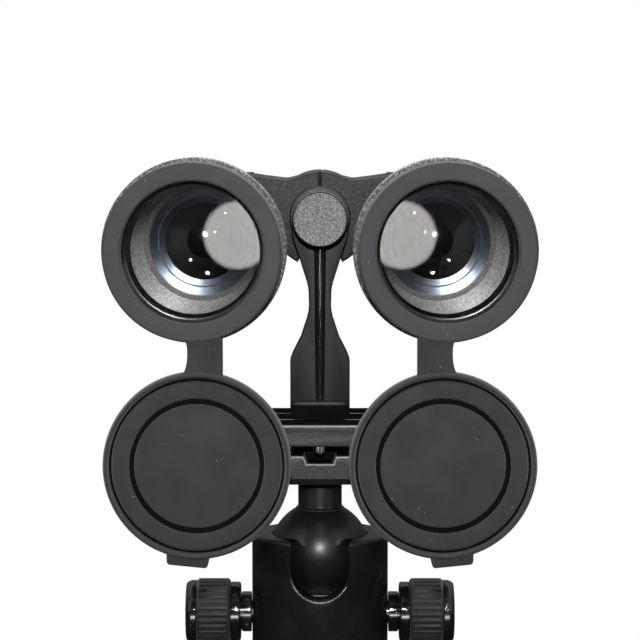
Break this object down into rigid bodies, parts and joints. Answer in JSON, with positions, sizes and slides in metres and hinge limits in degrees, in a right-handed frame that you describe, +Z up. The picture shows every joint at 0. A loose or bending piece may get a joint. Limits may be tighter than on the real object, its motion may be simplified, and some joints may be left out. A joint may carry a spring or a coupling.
{
  "type": "astronomy binoculars",
  "caption": "Roof-prism binoculars with hanging objective covers, on an L bracket, a quick-release dovetail clamp and a ball head with side knobs.",
  "frame": {"origin": "mouth of the tripod thread, at the centre of the base's underside, on the ball head's vertical axis", "axes": "+Z up along the ball head's axis, -Y the way the objectives face, +X to the right seen from the front"},
  "size_m": [0.1336, 0.1483, 0.182],
  "materials": {
    "housing": "black anodised, satin gloss, fine bead-blasted grain",
    "anodised": "black anodised, satin",
    "ball": "black anodised, polished",
    "clamp": "black anodised, matte, bright worn edges",
    "bracket": "black powder coat, fine grain",
    "knob": "black moulded, straight knurl, cast face",
    "bridge": "black powder coat, fine grain",
    "armor": "black pebbled rubber armour",
    "cover_rubber": "black smooth moulded rubber, matte",
    "eyecup": "black smooth soft rubber",
    "grip": "black ribbed rubber",
    "bearing": "natural acetal",
    "steel": "bright turned steel",
    "brass": "bright turned brass",
    "lens": "polished, anti-reflection coated"
  },
  "bodies": {
    "base": {"pan_base": "anodised", "pan_retainer": "steel"},
    "head": {"head_housing": "housing", "base_plug": "anodised"},
    "lock_knob": {"lock_knob": "anodised", "lock_grip": "grip"},
    "friction_knob": {"friction_knob": "anodised", "friction_grip": "grip"},
    "pan_lock_knob": {"pan_lock_knob": "anodised"},
    "cup": {"friction_cup": "bearing"},
    "ball": {"ball": "ball", "clamp_base": "clamp", "guide_pins": "steel", "clamp_bolt": "steel"},
    "clamp_jaw": {"clamp_jaw": "clamp"},
    "clamp_knob": {"clamp_knob": "clamp", "clamp_screw": "steel"},
    "plate": {"qr_plate": "clamp", "plate_pad": "cover_rubber", "plate_screw": "steel", "plate_stop_screws": "steel", "bracket": "bracket", "hinge_shaft": "steel", "center_tube": "bridge"},
    "bracket_knob": {"bracket_knob": "knob"},
    "focus_wheel": {"focus_wheel": "anodised", "focus_grip": "grip", "focus_spindle": "brass"},
    "focus_slider": {"focus_slider": "brass"},
    "right_barrel": {"right_body": "bridge", "right_armor": "armor", "right_objective_ring": "anodised", "right_objective_lens": "lens", "right_baffle": "anodised", "right_prism": "lens", "right_eyepiece": "anodised", "right_eye_lens": "lens"},
    "right_focus": {"right_focus_cell": "anodised", "right_focus_lens": "lens"},
    "right_cover_ring": {"right_cover_ring": "cover_rubber", "right_strap": "cover_rubber"},
    "right_cover": {"right_cover": "cover_rubber"},
    "right_eyecup_sleeve": {"right_eyecup_sleeve": "bearing"},
    "right_eyecup": {"right_eyecup": "eyecup"},
    "left_barrel": {"left_body": "bridge", "left_armor": "armor", "left_objective_ring": "anodised", "left_objective_lens": "lens", "left_baffle": "anodised", "left_prism": "lens", "left_eyepiece": "anodised", "left_eye_lens": "lens"},
    "left_focus": {"left_focus_cell": "anodised", "left_focus_lens": "lens"},
    "left_cover_ring": {"left_cover_ring": "cover_rubber", "left_strap": "cover_rubber"},
    "left_cover": {"left_cover": "cover_rubber"},
    "left_eyecup_sleeve": {"left_eyecup_sleeve": "bearing"},
    "left_eyecup": {"left_eyecup": "eyecup"},
    "diopter": {"diopter_ring": "grip"}
  },
  "joints": [
    {"name": "pan", "type": "hinge", "parent": "base", "child": "head", "pos_m": [0, 0, 0], "axis": [0, 0, 1], "continuous": true},
    {"name": "lock_turn", "type": "hinge", "parent": "head", "child": "lock_knob", "pos_m": [-0.03, 0, 0.0295], "axis": [-1, 0, 0], "range_deg": [-90, 270]},
    {"name": "friction_turn", "type": "hinge", "parent": "head", "child": "friction_knob", "pos_m": [0.03, 0, 0.0295], "axis": [1, 0, 0], "range_deg": [-90, 270]},
    {"name": "pan_lock_turn", "type": "hinge", "parent": "head", "child": "pan_lock_knob", "pos_m": [0, 0.027, 0.0168], "axis": [0, 1, 0], "range_deg": [-90, 270]},
    {"name": "tilt_side", "type": "hinge", "parent": "head", "child": "cup", "pos_m": [0, 0, 0.05], "axis": [0, 1, 0], "range_deg": [-25, 25]},
    {"name": "tilt_forward", "type": "hinge", "parent": "cup", "child": "ball", "pos_m": [0, 0, 0.05], "axis": [1, 0, 0], "range_deg": [-25, 90]},
    {"name": "clamp_turn", "type": "hinge", "parent": "clamp_jaw", "child": "clamp_knob", "pos_m": [-0.034, 0, 0.0796], "axis": [-1, 0, 0], "range_deg": [0, 720]},
    {"name": "clamp_open", "type": "slide", "parent": "ball", "child": "clamp_jaw", "axis": [-1, 0, 0], "range_m": [0, 0.003]},
    {"name": "plate_slide", "type": "slide", "parent": "ball", "child": "plate", "axis": [0, 1, 0], "range_m": [-0.008, 0.008]},
    {"name": "bracket_knob_turn", "type": "hinge", "parent": "plate", "child": "bracket_knob", "pos_m": [0, -0.022, 0.1618], "axis": [0, -1, 0], "continuous": true},
    {"name": "focus_turn", "type": "hinge", "parent": "plate", "child": "focus_wheel", "pos_m": [0, 0.038, 0.1618], "axis": [0, 1, 0], "range_deg": [-200, 200]},
    {"name": "focus_slide", "type": "slide", "parent": "plate", "child": "focus_slider", "axis": [0, 1, 0], "range_m": [-0.0022, 0.0022]},
    {"name": "fold_right", "type": "hinge", "parent": "plate", "child": "right_barrel", "pos_m": [0, 0.01, 0.1618], "axis": [0, 1, 0], "range_deg": [0, 25]},
    {"name": "cover_ring_turn_right", "type": "hinge", "parent": "right_barrel", "child": "right_cover_ring", "pos_m": [0.0385, -0.07, 0.1537], "axis": [0, -1, 0], "range_deg": [0, 25]},
    {"name": "focus_cell_slide_right", "type": "slide", "parent": "right_barrel", "child": "right_focus", "axis": [0, 1, 0], "range_m": [-0.0022, 0.0022]},
    {"name": "cover_flip_right", "type": "hinge", "parent": "right_cover_ring", "child": "right_cover", "pos_m": [0.03785, -0.0752, 0.1215], "axis": [-0.9998, 0, 0.0202], "range_deg": [-20, 179.8]},
    {"name": "eyecup_twist_right", "type": "hinge", "parent": "right_barrel", "child": "right_eyecup_sleeve", "pos_m": [0.0385, 0.056, 0.1537], "axis": [0, 1, 0], "range_deg": [0, 120]},
    {"name": "eyecup_rise_right", "type": "slide", "parent": "right_eyecup_sleeve", "child": "right_eyecup", "axis": [0, 1, 0], "range_m": [0, 0.008]},
    {"name": "fold_left", "type": "hinge", "parent": "plate", "child": "left_barrel", "pos_m": [0, 0.01, 0.1618], "axis": [0, -1, 0], "range_deg": [0, 25]},
    {"name": "cover_ring_turn_left", "type": "hinge", "parent": "left_barrel", "child": "left_cover_ring", "pos_m": [-0.0385, -0.07, 0.1537], "axis": [0, 1, 0], "range_deg": [0, 25]},
    {"name": "focus_cell_slide_left", "type": "slide", "parent": "left_barrel", "child": "left_focus", "axis": [0, 1, 0], "range_m": [-0.0022, 0.0022]},
    {"name": "cover_flip_left", "type": "hinge", "parent": "left_cover_ring", "child": "left_cover", "pos_m": [-0.03785, -0.0752, 0.1215], "axis": [-0.9998, 0, -0.0202], "range_deg": [-20, 179.8]},
    {"name": "eyecup_twist_left", "type": "hinge", "parent": "left_barrel", "child": "left_eyecup_sleeve", "pos_m": [-0.0385, 0.056, 0.1537], "axis": [0, 1, 0], "range_deg": [0, 120]},
    {"name": "eyecup_rise_left", "type": "slide", "parent": "left_eyecup_sleeve", "child": "left_eyecup", "axis": [0, 1, 0], "range_m": [0, 0.008]},
    {"name": "diopter_turn", "type": "hinge", "parent": "left_barrel", "child": "diopter", "pos_m": [-0.0385, 0.049, 0.1537], "axis": [0, 1, 0], "range_deg": [-60, 60]}
  ],
  "couplings": [
    {"joint": "clamp_turn", "follows": "clamp_open", "rad_per_m": 4188.8},
    {"joint": "focus_turn", "follows": "focus_slide", "rad_per_m": 1586.7},
    {"joint": "eyecup_rise_right", "follows": "eyecup_twist_right", "m_per_rad": 0.0038197},
    {"joint": "focus_cell_slide_right", "follows": "focus_slide", "ratio": 1},
    {"joint": "cover_ring_turn_right", "follows": "fold_right", "ratio": 1},
    {"joint": "eyecup_rise_left", "follows": "eyecup_twist_left", "m_per_rad": 0.0038197},
    {"joint": "focus_cell_slide_left", "follows": "focus_slide", "ratio": 1},
    {"joint": "cover_ring_turn_left", "follows": "fold_right", "ratio": 1},
    {"joint": "fold_left", "follows": "fold_right", "ratio": 1}
  ]
}
